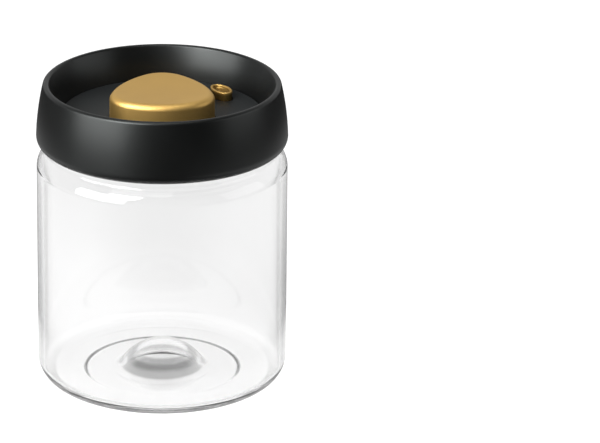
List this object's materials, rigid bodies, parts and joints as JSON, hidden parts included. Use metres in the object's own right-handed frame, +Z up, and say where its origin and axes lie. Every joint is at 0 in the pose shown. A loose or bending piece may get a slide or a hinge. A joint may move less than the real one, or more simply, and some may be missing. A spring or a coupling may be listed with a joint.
{
  "type": "vacuum seal canister",
  "caption": "Round clear glass food canister with a domed floor and a dished black lid that holds a sprung gold vacuum pump button and a small oval release button.",
  "frame": {"origin": "centre of the jar's foot ring, on the surface that it stands on", "axes": "+Z up along the jar's axis, -Y to the front, +X to the right; the release button is at the back right"},
  "size_m": [0.1054, 0.1054, 0.1306],
  "materials": {
    "clear_glass": "clear blown glass",
    "black_plastic": "fine matte moulded black",
    "deck_plastic": "matte slate black",
    "gold_plastic": "satin gold metallised",
    "inner_plastic": "plain moulded dark grey",
    "silicone": "translucent white silicone",
    "steel": "bright stainless"
  },
  "bodies": {
    "jar": {"glass_jar": "clear_glass"},
    "lid": {"lid_shell": "black_plastic", "deck_plate": "deck_plastic", "lid_base": "inner_plastic", "mouth_gasket": "silicone", "pump_cylinder": "inner_plastic", "cylinder_seal": "silicone", "stem_guide": "inner_plastic", "intake_valve": "silicone", "guide_screws": "steel", "shell_screws": "steel", "pump_spring": "steel", "release_spring": "steel"},
    "pump": {"pump_button": "gold_plastic", "pump_stem": "inner_plastic", "piston": "inner_plastic", "piston_seal": "silicone", "exhaust_flap": "silicone", "piston_screw": "steel"},
    "release": {"release_button": "gold_plastic", "release_stem": "inner_plastic", "release_seal": "silicone", "release_clip": "steel"}
  },
  "joints": [
    {"name": "lid_lift", "type": "slide", "parent": "jar", "child": "lid", "axis": [0, 0, 1], "range_m": [0, 0.08]},
    {"name": "pump_press", "type": "slide", "parent": "lid", "child": "pump", "axis": [0, 0, -1], "range_m": [0, 0.006], "stiffness_N_per_m": 600, "springref_m": -0.01, "deforming": ["pump_spring"]},
    {"name": "release_press", "type": "slide", "parent": "lid", "child": "release", "axis": [0, 0, -1], "range_m": [0, 0.002], "stiffness_N_per_m": 500, "springref_m": -0.005, "deforming": ["release_spring"]}
  ]
}
